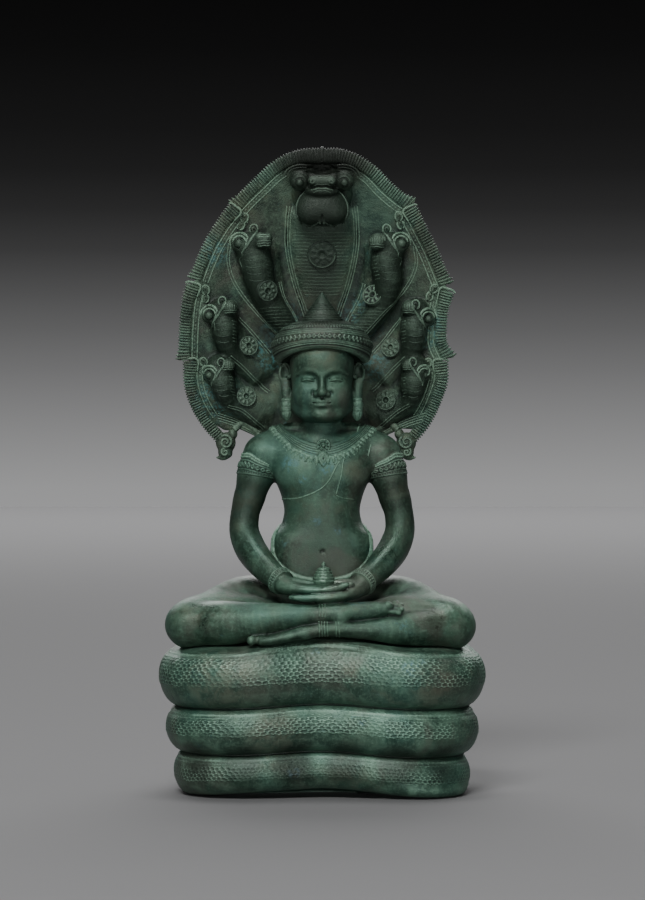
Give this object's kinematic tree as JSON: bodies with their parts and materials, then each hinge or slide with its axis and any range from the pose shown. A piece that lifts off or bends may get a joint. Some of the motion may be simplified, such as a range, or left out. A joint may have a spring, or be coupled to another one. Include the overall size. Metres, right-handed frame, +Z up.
{
  "type": "seated bronze figure on serpent coils",
  "caption": "Crowned figure seated cross-legged in meditation on stacked serpent coils, hands in the lap holding a small lidded jar, sheltered from behind by a broad upright serpent hood.",
  "frame": {"origin": "centre of the bounding box at the underside of the lowest coil", "axes": "+X to the viewer's right, +Y away from the viewer through the figure's back, +Z up"},
  "size_m": [0.2946, 0.1897, 0.5832],
  "materials": {
    "figure_bronze": "dark green patinated bronze, worn smooth on the raised parts, with turquoise and olive patches",
    "hood_bronze": "dark grey-green patinated bronze with paler green in the engraved lines",
    "coil_bronze": "green patinated bronze with pale incised scales and a few turquoise spots"
  },
  "bodies": {
    "root": {"buddha": "figure_bronze", "naga_hood": "hood_bronze", "naga_coils": "coil_bronze"}
  },
  "joints": []
}
